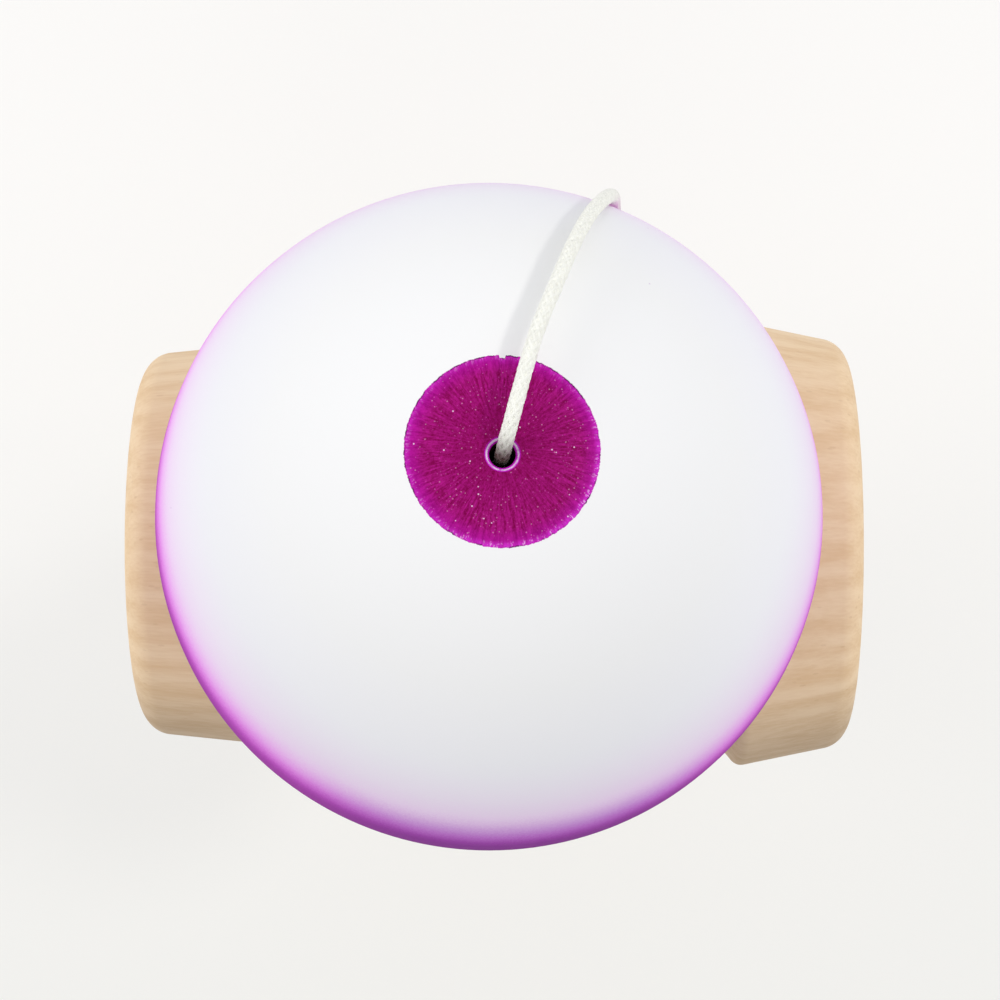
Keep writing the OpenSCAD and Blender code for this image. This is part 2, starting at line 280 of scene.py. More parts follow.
def smooth_line(points):
    """A smooth curve through the points, with a point about every step."""
    points = [Vector(p) for p in points]
    ends = [2 * points[0] - points[1], *points, 2 * points[-1] - points[-2]]
    line = []
    for a, b, c, d in zip(ends, ends[1:], ends[2:], ends[3:]):
        count = max(1, round((c - b).length / LINE_STEP))
        for k in range(count):
            t = k / count
            line.append((2 * b + (c - a) * t + (2 * a - 5 * b + 4 * c - d) * t * t
                         + (3 * b - a - 3 * c + d) * t ** 3) / 2)
    return line + [points[-1]]


class Nodes:
    """Adds nodes to one tree. An input takes a plain value or another node's socket."""

    def __init__(self, tree):
        self.tree = tree
        tree.nodes.clear()

    def add(self, kind, inputs=None, out=0, **settings):
        node = self.tree.nodes.new(kind)
        for name, value in settings.items():
            setattr(node, name, value)
        for key, value in (inputs or {}).items():
            if isinstance(value, bpy.types.NodeSocket):
                self.tree.links.new(value, node.inputs[key])
            else:
                node.inputs[key].default_value = value
        return node.outputs[out] if node.outputs else node

    def math(self, operation, a, b=0.0):
        return self.add("ShaderNodeMath", {0: a, 1: b}, operation=operation)

    def plus(self, a, b):
        return self.math("ADD", a, b)

    def times(self, a, b):
        return self.math("MULTIPLY", a, b)

    def sway(self, noise, size):
        """A noise as a swing to both sides of nothing."""
        return self.times(self.math("SUBTRACT", noise, 0.5), size)

    def vector(self, operation, a, b=(0, 0, 0), out=0):
        return self.add("ShaderNodeVectorMath", {0: a, 1: b}, out, operation=operation)

    def stretched(self, vector, sizes):
        return self.vector("MULTIPLY", vector, sizes)

    def scaled(self, vector, size):
        return self.add("ShaderNodeVectorMath", {0: vector, "Scale": size}, operation="SCALE")

    def flat(self, vector):
        return self.stretched(vector, (1, 1, 0))

    def unit(self, vector):
        return self.vector("NORMALIZE", vector)

    def length(self, vector):
        return self.vector("LENGTH", vector, out="Value")

    def facing(self, vector, way):
        return self.vector("DOT_PRODUCT", vector, way, "Value")

    def part(self, vector, axis):
        return self.add("ShaderNodeSeparateXYZ", {0: vector}, axis)

    def step(self, value, low, high, start=0.0, end=1.0):
        """A smooth step from start to end while the value goes from low to high."""
        return self.add("ShaderNodeMapRange", {0: value, 1: low, 2: high, 3: start, 4: end},
                        interpolation_type="SMOOTHSTEP")

    def mix(self, factor, a, b):
        return self.add("ShaderNodeMix", {0: factor, 6: a, 7: b}, 2, data_type="RGBA")

    def tint(self, colour, other, where, share):
        """A share of another colour brought into a colour, where it is wanted."""
        return self.mix(self.times(where, share), colour, other)

    def noise(self, vector, scale, detail=2.0, roughness=0.5):
        return self.add("ShaderNodeTexNoise", {"Vector": vector, "Scale": scale,
                                               "Detail": detail, "Roughness": roughness})

    def spots(self, vector, scale, size, share):
        """Round spots, one in each of a share of the cells that the vector's space is cut into."""
        cells = self.tree.nodes.new("ShaderNodeTexVoronoi")
        self.tree.links.new(vector, cells.inputs["Vector"])
        cells.inputs["Scale"].default_value = scale
        chance = self.add("ShaderNodeSeparateColor", {0: cells.outputs["Color"]})
        near = self.step(cells.outputs["Distance"], size * 0.55, size, 1.0, 0.0)
        return self.times(near, self.math("LESS_THAN", chance, share))

    def place(self):
        return self.add("ShaderNodeTexCoord", out="Object")

    def from_axis(self, turn):
        """Object coordinates from the ball's centre, turned to stand along an axis of it."""
        return self.add("ShaderNodeMapping", {
            "Vector": self.place(), "Location": [c * MM for c in BALL_CENTRE], "Rotation": turn},
            vector_type="TEXTURE")


def new_finish(name):
    """A new material and its nodes."""
    material = bpy.data.materials.new(name)
    material.use_nodes = True
    return material, Nodes(material.node_tree)


def finish_shader(nodes, colour, roughness, height, bump, **plain):
    """Joins a colour, a roughness and a height to the surface, and sets plain values on it.

    bump is the height's strength and its depth in millimetres.
    """
    strength, depth = bump
    normal = nodes.add("ShaderNodeBump", {"Strength": strength, "Distance": depth * MM,
                                          "Height": height})
    surface = nodes.add("ShaderNodeBsdfPrincipled", {
        "Base Color": colour, "Roughness": roughness, **plain, "Normal": normal})
    nodes.add("ShaderNodeOutputMaterial", {"Surface": surface})


def beech_finish(name, turn, pith):
    """Sanded beech with its grain along the turned Z axis and the tree's middle at pith."""
    material, nodes = new_finish(name)
    grain = nodes.add("ShaderNodeMapping", {
        "Vector": nodes.scaled(nodes.place(), 1 / MM), "Rotation": turn}, vector_type="TEXTURE")

    def along(share):
        """Places in the wood, drawn out along the grain."""
        return nodes.stretched(grain, (1, 1, share))

    wander = nodes.noise(along(0.12), scale=0.12, detail=3)
    across = nodes.flat(nodes.vector("SUBTRACT", grain, pith))
    radius = nodes.plus(nodes.length(across), nodes.times(wander, RING_WANDER))
    ring = nodes.math("SINE", nodes.times(radius, FULL_TURN / RING_WIDTH))
    heart_and_shade = nodes.step(radius, *HEART_AND_SHADE_EDGE, 1.0, 0.0)
    band = nodes.noise(along(0.05), scale=0.55, detail=2)
    fibre = nodes.noise(along(0.04), scale=3.6, detail=3, roughness=0.6)
    fleck = nodes.spots(along(0.3), scale=1.6, size=0.24, share=0.35)
    cloud = nodes.spots(along(0.6), scale=0.13, size=0.15, share=0.5)
    tone = nodes.plus(nodes.times(ring, 0.06),
                      nodes.plus(nodes.times(band, 0.6), nodes.times(fibre, 0.4)))
    tone = nodes.step(tone, 0.3, 0.72)
    colour = nodes.mix(tone, BEECH_PALE, BEECH_DARK)
    # Darker heart: the wood's own tone on the handle, painted shade on the cross-piece's front side
    colour = nodes.tint(colour, nodes.mix(tone, HEART_AND_SHADE_PALE, HEART_AND_SHADE_DARK), heart_and_shade, 0.75)
    colour = nodes.tint(colour, FLECK_BROWN, fleck, 0.14)
    colour = nodes.tint(colour, CLOUD_BROWN, cloud, 0.3)
    height = nodes.math("SUBTRACT", fibre, nodes.times(fleck, 0.5))
    roughness = nodes.step(fibre, 0.3, 0.7, 0.5, 0.62)
    finish_shader(nodes, colour, roughness, height, (0.18, 0.12), **{"Specular IOR Level": 0.1})
    return material


def faded_paint(nodes, fade):
    """White on top, purple below, with a spray's grain and painted shade on its lower front edge.
    """
    up = nodes.part(nodes.unit(fade), 2)
    angle = nodes.times(nodes.math("ARCCOSINE", up), HALF_TURN_DEG / math.pi)
    grain = nodes.noise(fade, scale=5200, detail=2, roughness=0.7)
    cloud = nodes.noise(fade, scale=90, detail=3)
    angle = nodes.plus(angle, nodes.sway(grain, 3.5))
    angle = nodes.plus(angle, nodes.sway(cloud, 2.0))
    ramp = nodes.tree.nodes.new("ShaderNodeValToRGB")
    while len(ramp.color_ramp.elements) < len(FADE_STOPS):
        ramp.color_ramp.elements.new(1)
    for element, (stop, colour) in zip(ramp.color_ramp.elements, FADE_STOPS):
        element.position, element.color = stop / HALF_TURN_DEG, (*colour, 1)
    nodes.tree.links.new(nodes.math("DIVIDE", angle, HALF_TURN_DEG), ramp.inputs["Fac"])
    colour = ramp.outputs["Color"]
    aside = nodes.unit(nodes.flat(fade))
    # Painted shade: the paint is darkened along the ball's lower edge in front
    band = nodes.times(nodes.step(angle, *FRONT_SHADE_START), nodes.step(angle, *FRONT_SHADE_END, 1.0, 0.0))
    front_shade = nodes.times(band, nodes.step(nodes.facing(aside, FRONT_SHADE_WAY), 0.74, 0.99))
    colour = nodes.mix(front_shade, colour, nodes.stretched(colour, FRONT_SHADE_TONE))
    specks = nodes.spots(fade, scale=420, size=0.045, share=0.12)
    return nodes.tint(colour, SPRAY_SPECK, specks, 0.4)


def stained_patch(nodes):
    """The stained patch, with streaks that run out from its middle, painted glints and a ragged
    edge.

    Gives its colour, 1 where it lies, and its streaks.
    """
    patch = nodes.from_axis(lean_turn(PATCH_AXIS))
    flat = nodes.flat(patch)
    out = nodes.math("DIVIDE", nodes.length(flat), MM)
    round_it = nodes.unit(flat)

    def streaked(fineness, detail, roughness):
        """Noise drawn out along the way from the middle."""
        spread = nodes.vector("ADD", nodes.scaled(round_it, STREAK_TURNS),
                              nodes.scaled(patch, fineness))
        return nodes.noise(spread, 1.0, detail, roughness)

    def round_noise(turns, detail, roughness):
        """Noise that changes only round the patch."""
        return nodes.noise(nodes.scaled(round_it, turns), 1.0, detail, roughness)

    streak = nodes.times(nodes.step(streaked(640.0, detail=3, roughness=0.7), 0.38, 0.63),
                         nodes.step(out, 1.2, 6.5, 0.3, 1.0))
    ragged = round_noise(15.0, detail=4, roughness=0.75)
    chip = nodes.step(nodes.facing(round_it, CHIP_WAY), *CHIP_SPAN, 0.0, CHIP_DEPTH)
    edge = nodes.plus(nodes.plus(out, chip), nodes.sway(ragged, EDGE_RAGGED))
    on_top = nodes.math("GREATER_THAN", nodes.part(patch, 2), 0.0)
    inside = nodes.times(nodes.step(edge, PATCH_R - 0.03, PATCH_R + 0.03, 1.0, 0.0), on_top)
    mottle = nodes.step(nodes.noise(patch, scale=4200, detail=3, roughness=0.8), 0.32, 0.68)
    tone = nodes.plus(nodes.times(streak, 0.55), nodes.times(mottle, 0.45))
    stain = nodes.mix(tone, PATCH_DARK, PATCH_PALE)
    stain = nodes.mix(nodes.step(out, *VIOLET_FROM, 0.0, VIOLET_SHARE), stain, PATCH_VIOLET)
    # Its edge: a paler fringe, worn most on one side, and a thin dark line in places
    worn = nodes.step(nodes.facing(round_it, WORN_WAY), -0.2, 0.9, 0.55, 1.0)
    fringe = nodes.times(nodes.step(edge, PATCH_R - 0.6, PATCH_R - 0.12),
                         nodes.times(worn, nodes.step(streak, 0.0, 0.8, 0.55, 1.0)))
    stain = nodes.tint(stain, FRINGE, fringe, 0.8)
    nick = nodes.step(streaked(2600.0, detail=2, roughness=0.6), 0.56, 0.66)
    bare = nodes.times(nick, nodes.times(fringe, worn))
    stain = nodes.tint(stain, BARE_NICK, bare, 0.7)
    dashes = nodes.plus(round_noise(6.0, detail=3, roughness=0.7), nodes.times(worn, -0.16))
    line = nodes.times(nodes.step(edge, PATCH_R - 0.13, PATCH_R - 0.08),
                       nodes.step(dashes, 0.36, 0.46))
    stain = nodes.tint(stain, EDGE_LINE, line, 0.8)
    # Painted highlights: small bright glints spotted over the patch
    for scale, size, share, glint, strength in PAINTED_GLINTS:
        stain = nodes.tint(stain, glint, nodes.spots(patch, scale, size, share), strength)
    return stain, inside, streak


def string_hole_paint(nodes, stain):
    """The stain with the string hole's bevel, a painted highlight along it, and painted shade in
    the hole.
    """
    hole = nodes.from_axis(lean_turn())
    out = nodes.math("DIVIDE", nodes.length(nodes.flat(hole)), MM)
    bevel = nodes.step(out, STRING_BEVEL_R - 0.02, STRING_BEVEL_R + 0.04, 1.0, 0.0)
    stain = nodes.mix(bevel, stain, BEVEL_PAINT)
    # Painted highlight: a thin broken bright line along the bevel
    bevel_highlight = nodes.times(nodes.step(out, STRING_HOLE_R + 0.12, STRING_HOLE_R + 0.2),
                        nodes.step(out, STRING_BEVEL_R - 0.13, STRING_BEVEL_R - 0.05, 1.0, 0.0))
    broken = nodes.step(nodes.noise(hole, scale=1500, detail=2), 0.4, 0.54, 0.25, 1.0)
    stain = nodes.tint(stain, BEVEL_HIGHLIGHT, bevel_highlight, broken)
    # Painted shade inside the string hole
    hole_shade = nodes.step(out, STRING_HOLE_R + 0.01, STRING_HOLE_R + 0.05, 1.0, 0.0)
    return nodes.mix(hole_shade, stain, STRING_HOLE_SHADE)


def ball_finish():
    """Satin white paint that fades to purple below, and a stained patch round the string hole."""
    material, nodes = new_finish("ball_paint")
    fade = nodes.from_axis(lean_turn(FADE_AXIS))
    paint = faded_paint(nodes, fade)
    stain, inside, streak = stained_patch(nodes)
    colour = nodes.mix(inside, paint, string_hole_paint(nodes, stain))
    # Fine spray texture on the paint, fine grooves on the patch
    peel = nodes.noise(fade, scale=1500, detail=2)
    height = nodes.plus(nodes.times(peel, 0.25), nodes.times(inside, streak))
    roughness = nodes.step(inside, 0.0, 1.0, 0.62, 0.45)
    finish_shader(nodes, colour, roughness, height, (0.12, 0.1), **{"Specular IOR Level": 0.03})
    return material


def string_finish(name, shaded=False):
    """Off-white braided cotton: each strand has fine fibres along it and its own slight shade."""
    material, nodes = new_finish(name)
    along = nodes.add("ShaderNodeAttribute", out="Vector", attribute_name=STRAND_PLACE)
    fibre = nodes.noise(nodes.stretched(along, (1, 1, 0.25)), scale=2.2, detail=3, roughness=0.65)
    fuzz = nodes.noise(nodes.place(), scale=4200, detail=2, roughness=0.6)
    shade = nodes.noise(nodes.stretched(along, (1.7, 0, 0.02)), scale=1.0, detail=0)
    tone = nodes.plus(nodes.times(fibre, 0.6), nodes.times(shade, 0.4))
    colour = nodes.mix(nodes.step(tone, 0.3, 0.7), STRING_GREY, STRING_WHITE)
    if shaded:
        # Painted shade on the string where it comes out of the ball's hole
        colour = nodes.mix(nodes.step(nodes.part(along, 2), *SHADE_SPAN), STRING_SHADE, colour)
    height = nodes.plus(fibre, nodes.times(fuzz, 0.6))
    roughness = nodes.step(fuzz, 0.3, 0.7, 0.72, 0.88)
    finish_shader(nodes, colour, roughness, height, (0.15, 0.04), **{
        "Specular IOR Level": 0.2, "Sheen Weight": 0.2, "Sheen Roughness": 0.5})
    return material


def bead_finish():
    """Moulded off-white plastic with slight flow marks."""
    material, nodes = new_finish("bead_plastic")
    place = nodes.place()
    flow = nodes.noise(nodes.stretched(place, (1, 1, 3)), scale=380, detail=3)
    colour = nodes.mix(flow, BEAD_GREY, BEAD_WHITE)
    grain = nodes.noise(place, scale=3000, detail=2)
    finish_shader(nodes, colour, nodes.step(grain, 0.3, 0.7, 0.38, 0.5), grain, (0.1, 0.05))
    return material


def arc(centre, radius, start, stop):
    """Points round a centre, from one angle to another, in degrees."""
    count = max(2, math.ceil(ARC_STEPS * abs(stop - start) / 90))
    angles = [math.radians(start + (stop - start) * i / count) for i in range(count + 1)]
    return [(centre[0] + radius * math.cos(a), centre[1] + radius * math.sin(a)) for a in angles]


def bearing(start, end):
    """Angle of the way from one point to another, in degrees."""
    return math.degrees(math.atan2(end[1] - start[1], end[0] - start[0]))


def side_angle(one, one_r, two, two_r):
    """Angle of the outward normal of the straight side that touches two round edges."""
    return bearing(one, two) - math.degrees(math.acos((one_r - two_r) / math.dist(one, two)))


def cup_outline(cup_d, rim_d, depth):
    """Half outline of a cup from its bowl's middle to its saddle: (radius, distance from waist)."""
    lip = (rim_d / 2 - LIP_R, HALF_LEN - LIP_R)
    bowl_r = (lip[0] ** 2 + depth ** 2) / (2 * depth) - LIP_R
    bowl = (0, HALF_LEN - depth + bowl_r)
    meet = math.degrees(math.atan2(bowl[1] - lip[1], -lip[0]))
    edge_r = cup_d / 2 - SHOULDER_R
    edge = (edge_r, math.sqrt((SADDLE_R + SHOULDER_R) ** 2 - (SADDLE_MID - edge_r) ** 2))
    side = side_angle(edge, SHOULDER_R, lip, LIP_R)
    saddle = math.degrees(math.atan2(-edge[1], SADDLE_MID - edge[0]))
    return (arc(bowl, bowl_r, -90, meet - 180) + arc(lip, LIP_R, meet, side)
            + arc(edge, SHOULDER_R, side, saddle))


def cross_outline():
    """Small cup, saddle and big cup in one line."""
    small = [(r, -h) for r, h in cup_outline(*SMALL_CUP)]
    big = cup_outline(*BIG_CUP)[::-1]
    middle = (SADDLE_MID, 0)
    saddle = arc(middle, SADDLE_R, 360 + bearing(middle, small[-1]), bearing(middle, big[0]))
    return small + saddle + big


def swell(start, end):
    """Smooth swell from one (radius, height) to the next, level at both ends."""
    shares = [i / ARC_STEPS for i in range(ARC_STEPS + 1)]
    return [(start[0] + (end[0] - start[0]) * (1 - math.cos(math.pi * share)) / 2,
             start[1] + (end[1] - start[1]) * share) for share in shares]


def handle_outline():
    """Half outline of the handle from the middle of the base cup's bowl up to the tip."""
    lip = (BASE_RIM_R - BASE_LIP_R, BASE_LIP_R)
    bowl_edge = lip[0] - BASE_LAND
    bowl_r = (bowl_edge ** 2 + BASE_BOWL_DEPTH ** 2) / (2 * BASE_BOWL_DEPTH)
    bowl = (0, BASE_BOWL_DEPTH - bowl_r)
    edge = (BASE_R - SHOULDER_R, BASE_SHOULDER_Z)
    side = side_angle(lip, BASE_LIP_R, edge, SHOULDER_R)
    cove = (edge[0] - NECK[0], NECK[1] - edge[1] - SHOULDER_R)
    hollow = [(edge[0] - cove[0] * math.sin(a), NECK[1] - cove[1] * math.cos(a))
              for a in (math.pi * i / (4 * ARC_STEPS) for i in range(1, 2 * ARC_STEPS + 1))]
    foot = (TAPER_TOP_R, TAPER_TOP_Z)
    tip = (0, HANDLE_LEN - TIP_R)
    tip_from = bearing(tip, foot) + math.degrees(math.acos(TIP_R / math.dist(tip, foot)))
    return (arc(bowl, bowl_r, 90, math.degrees(math.atan2(-bowl[1], bowl_edge)))
            + arc(lip, BASE_LIP_R, -90, side) + arc(edge, SHOULDER_R, side, 90) + hollow
            + swell(NECK, RIDGE) + swell(RIDGE, GRIP_THIN)
            + swell(GRIP_THIN, (GRIP_R, GRIP_FULL_Z))
            + arc((GRIP_R - GRIP_EDGE_R, SEAT_Z - GRIP_EDGE_R), GRIP_EDGE_R, 0, 90)
            + [(TAPER_LOW_R, SEAT_Z), foot] + arc(tip, TIP_R, tip_from, 90))


def upright(radius, start, end, steps):
    """Straight wall at a radius, from one height to another."""
    return [(radius, start - (start - end) * i / steps) for i in range(steps + 1)]


def ball_outline():
    """The spike's hole, the ball's outside and the string hole, in one closed line."""
    mouth_r = BALL_HOLE_R + BALL_HOLE_BEVEL
    mouth = math.sqrt(BALL_R ** 2 - mouth_r ** 2)
    top = math.sqrt(BALL_R ** 2 - STRING_BEVEL_R ** 2)
    outside = arc((0, 0), BALL_R, bearing((0, 0), (mouth_r, -mouth)),
                  bearing((0, 0), (STRING_BEVEL_R, top)))
    return ([(STRING_HOLE_R, BALL_ROOF), (ROOF_RING_R, BALL_ROOF)]
            + upright(BALL_HOLE_R, BALL_ROOF, BALL_HOLE_BEVEL - mouth, WALL_STEPS) + outside
            + upright(STRING_HOLE_R, top - STRING_HOLE_BEVEL, BALL_ROOF, STRING_HOLE_STEPS))


def bead_outline():
    """A barrel with a hole through it, in one closed line."""
    half = BEAD_LEN / 2
    flat_r = math.sqrt(BEAD_R ** 2 - half ** 2)
    side = arc((0, 0), BEAD_R, bearing((0, 0), (flat_r, -half)), bearing((0, 0), (flat_r, half)))
    return [(BEAD_HOLE_R, -half)] + side + [(BEAD_HOLE_R, half), (BEAD_HOLE_R, -half)]


def tree_with(name, inputs):
    """A geometry tree with named inputs.

    Gives the tree, its nodes, its input sockets and their identifiers.
    """
    tree = bpy.data.node_groups.new(name, "GeometryNodeTree")
    nodes = Nodes(tree)

    def new_socket(label, way, kind):
        return tree.interface.new_socket(label, in_out=way, socket_type="NodeSocket" + kind)

    new_socket("Geometry", "INPUT", "Geometry")
    ids = {label: new_socket(label, "INPUT", kind).identifier for label, kind in inputs.items()}
    new_socket("Geometry", "OUTPUT", "Geometry")
    return tree, nodes, tree.nodes.new("NodeGroupInput").outputs, ids


def close_tree(nodes, geometry, material):
    """Ends a tree in real geometry with smooth faces and its finish."""
    smooth = nodes.add("GeometryNodeSetShadeSmooth", {"Geometry": geometry})
    real = nodes.add("GeometryNodeRealizeInstances", {"Geometry": smooth})
    done = nodes.add("GeometryNodeSetMaterial", {"Geometry": real, "Material": material})
    nodes.add("NodeGroupOutput", {0: done})


def turning_tree():
    """Turns the outline that an object's mesh holds round its Z axis, then puts it in its place."""
    tree, nodes, given, ids = tree_with("turned_piece", {
        "Steps round": "Int", "Place": "Vector", "Turn": "Rotation", "Finish": "Material"})
    rows = nodes.add("GeometryNodeAttributeDomainSize", {0: given["Geometry"]}, "Point Count")
    columns = nodes.plus(given["Steps round"], 1.0)
    sheet = nodes.add("GeometryNodeMeshGrid", {
        "Size X": 1.0, "Size Y": 1.0, "Vertices X": columns, "Vertices Y": rows})
    position = nodes.add("GeometryNodeInputPosition")
    row = nodes.times(nodes.plus(nodes.part(position, 1), 0.5), nodes.math("SUBTRACT", rows, 1.0))
    outline = nodes.add("GeometryNodeSampleIndex", {
        "Geometry": given["Geometry"], "Value": position,
        "Index": nodes.add("FunctionNodeFloatToInt", {0: row}, rounding_mode="ROUND")},
        data_type="FLOAT_VECTOR", domain="POINT")
    radius = nodes.part(outline, 0)
    angle = nodes.times(nodes.plus(nodes.part(position, 0), 0.5), FULL_TURN)
    turned_point = nodes.add("ShaderNodeCombineXYZ", {
        0: nodes.times(radius, nodes.math("COSINE", angle)),
        1: nodes.times(radius, nodes.math("SINE", angle)), 2: nodes.part(outline, 2)})
    shape = nodes.add("GeometryNodeSetPosition", {"Geometry": sheet, "Position": turned_point})
    shape = nodes.add("GeometryNodeMergeByDistance", {
        "Geometry": shape, "Distance": MERGE_GAP * MM})
    shape = nodes.add("GeometryNodeTransform", {
        "Geometry": shape, "Translation": given["Place"], "Rotation": given["Turn"]})
    close_tree(nodes, shape, given["Finish"])
    return tree, ids


def braiding_tree():
    """Braids strands round the line that an object's mesh holds, half of them each way."""
    tree, nodes, given, ids = tree_with("braided_string", {
        "Strands each way": "Int", "Braid radius": "Float", "Strand radius": "Float",
        "Weave": "Float", "Turn length": "Float", "Spacing": "Float", "Sides": "Int",
        "Finish": "Material"})

    def spaced(curve, spacing):
        return nodes.add("GeometryNodeResampleCurve", {"Curve": curve, "Length": spacing},
                         mode="LENGTH")

    def placed(curve, place):
        """A curve that keeps which strand it is, how far over, and how far along in millimetres."""
        return nodes.add("GeometryNodeStoreNamedAttribute", {
            "Geometry": curve, "Name": STRAND_PLACE,
            "Value": nodes.add("ShaderNodeCombineXYZ", place)},
            data_type="FLOAT_VECTOR", domain="POINT")

    def swept(curve, sides, radius):
        ring = nodes.add("GeometryNodeCurvePrimitiveCircle", {
            "Resolution": sides, "Radius": radius})
        return nodes.add("GeometryNodeCurveToMesh", {
            "Curve": curve, "Profile Curve": ring, "Fill Caps": True})

    line = spaced(nodes.add("GeometryNodeMeshToCurve", {0: given["Geometry"]}), given["Spacing"])
    run = nodes.add("GeometryNodeSplineParameter", out="Length")
    run_mm = nodes.math("DIVIDE", run, MM)

    # Every second strand turns the other way, and each goes over and under those it meets
    copies = nodes.tree.nodes.new("GeometryNodeDuplicateElements")
    copies.domain = "SPLINE"
    nodes.tree.links.new(line, copies.inputs["Geometry"])
    nodes.tree.links.new(nodes.times(given["Strands each way"], 2.0), copies.inputs["Amount"])
    strand = copies.outputs["Duplicate Index"]
    way = nodes.math("SUBTRACT", 1.0, nodes.times(nodes.math("MODULO", strand, 2.0), 2.0))
    pair = nodes.math("FLOOR", nodes.math("DIVIDE", strand, 2.0))
    first = nodes.math("DIVIDE", nodes.times(pair, FULL_TURN), given["Strands each way"])
    turn = nodes.math("DIVIDE", nodes.times(run, FULL_TURN), given["Turn length"])
    angle = nodes.plus(first, nodes.times(turn, way))
    over = nodes.times(way, nodes.math("COSINE", nodes.times(turn, given["Strands each way"])))
    reach = nodes.plus(given["Braid radius"], nodes.times(over, given["Weave"]))
    normal = nodes.add("GeometryNodeInputNormal")
    side = nodes.vector("CROSS_PRODUCT", nodes.add("GeometryNodeInputTangent"), normal)
    offset = nodes.vector(
        "ADD", nodes.scaled(normal, nodes.times(reach, nodes.math("COSINE", angle))),
        nodes.scaled(side, nodes.times(reach, nodes.math("SINE", angle))))
    strands = placed(copies.outputs["Geometry"], {0: strand, 1: nodes.times(over, 0.5), 2: run_mm})
    strands = nodes.add("GeometryNodeSetPosition", {"Geometry": strands, "Offset": offset})
    strands = swept(strands, given["Sides"], given["Strand radius"])

    core = placed(spaced(line, nodes.times(given["Spacing"], CORE_SPACING)), {2: run_mm})
    core = swept(core, CORE_SIDES, nodes.times(given["Braid radius"], CORE_WIDTH))
    both = nodes.tree.nodes.new("GeometryNodeJoinGeometry")
    for part in (core, strands):
        nodes.tree.links.new(part, both.inputs[0])
    close_tree(nodes, both.outputs[0], given["Finish"])
    return tree, ids


def linked_object(name, data):
    """An object put into the scene."""
    thing = bpy.data.objects.new(name, data)
    bpy.context.scene.collection.objects.link(thing)
    return thing


def line_object(name, points, closed=False):
    """An object whose mesh is the line through the points."""
    mesh = bpy.data.meshes.new(name)
    edges = [(i, i + 1) for i in range(len(points) - 1)]
    if closed:
        edges.append((len(points) - 1, 0))
    mesh.from_pydata([tuple(p) for p in points], edges, [])
    return linked_object(name, mesh)


def grow(shape, tree, ids, values, cutters=()):
    """Runs a tree on an object, cuts the cutters out of it and keeps the result as a plain mesh."""
    modifier = shape.modifiers.new(tree.name, "NODES")
    modifier.node_group = tree
    for label, value in values.items():
        modifier[ids[label]] = value
    for cutter in cutters:
        cut = shape.modifiers.new(cutter.name, "BOOLEAN")
        cut.operation, cut.solver, cut.object = "DIFFERENCE", "EXACT", cutter
    graph = bpy.context.evaluated_depsgraph_get()
    mesh = bpy.data.meshes.new_from_object(
        shape.evaluated_get(graph), preserve_all_data_layers=True, depsgraph=graph)
    shape.modifiers.clear()
    old, shape.data = shape.data, mesh
    bpy.data.meshes.remove(old)
    for cutter in cutters:
        bpy.data.objects.remove(cutter)
    return shape


def tidy_outline(outline):
    """An outline without points that fall together."""
    kept = outline[:1]
    for point in outline[1:]:
        if math.dist(point, kept[-1]) > OUTLINE_GAP:
            kept.append(point)
    return kept


def turned(name, outline, steps, place, turn, material, cutters=()):
    """A turned piece from its half outline in millimetres."""
    points = [(r * MM, 0, h * MM) for r, h in tidy_outline(outline)]
    shape = grow(line_object(name, points), *TURNING, {
        "Steps round": steps, "Place": [c * MM for c in place], "Turn": turn,
        "Finish": material}, cutters)
    shape.data.set_sharp_from_angle(angle=math.radians(SHARP_ANGLE))
    return shape


def drill(name, low_r, top_r, place, length, turn=(0, 0, 0)):
    """A cutter to take out of a piece, along its axis. The faces that it cuts have no finish."""
    outline = [(0, 0), (low_r, 0), (top_r, length), (0, length)]
    return turned(name, outline, CUT_STEPS, place, Euler(turn), None)


def braided(name, line, material, spacing=BRAID_SPACING, closed=False):
    """A braided string along a line of points in millimetres."""
    shape = line_object(name, [p * MM for p in line], closed)
    return grow(shape, *BRAIDING, {**BRAID, "Spacing": spacing * MM, "Finish": material})


def knot_line(centre, turn):
    """A pulled-tight loop knot round its place."""
    points = []
    for i in range(KNOT_POINTS):
        t = FULL_TURN * i / KNOT_POINTS
        loop = Vector((math.sin(t) + 2 * math.sin(2 * t), math.cos(t) - 2 * math.cos(2 * t),
                       -KNOT_DEPTH * math.sin(3 * t)))
        points.append(Vector(centre) + turn.to_matrix() @ (loop * KNOT_SIZE))
    return points


def set_camera():
    """Almost straight down on the ball, close to it."""
    data = bpy.data.cameras.new("camera")
    data.sensor_width, data.lens = SENSOR, CAMERA_LENS
    camera = linked_object("camera", data)
    tip, side = (math.radians(a) for a in CAMERA_TILT)
    camera.matrix_world = (Matrix.Translation(Vector(CAMERA_PLACE) * MM)
                           @ Matrix.Rotation(tip, 4, "X") @ Matrix.Rotation(side, 4, "Y"))
    bpy.context.scene.camera = camera


def seen(nodes):
    """1 where a ray comes straight from the camera, or by way of a gloss or glass."""
    rays = nodes.tree.nodes.new("ShaderNodeLightPath").outputs
    seen_by = nodes.math("MAXIMUM", rays["Is Glossy Ray"], rays["Is Transmission Ray"])
    return nodes.math("MAXIMUM", rays["Is Camera Ray"], seen_by)


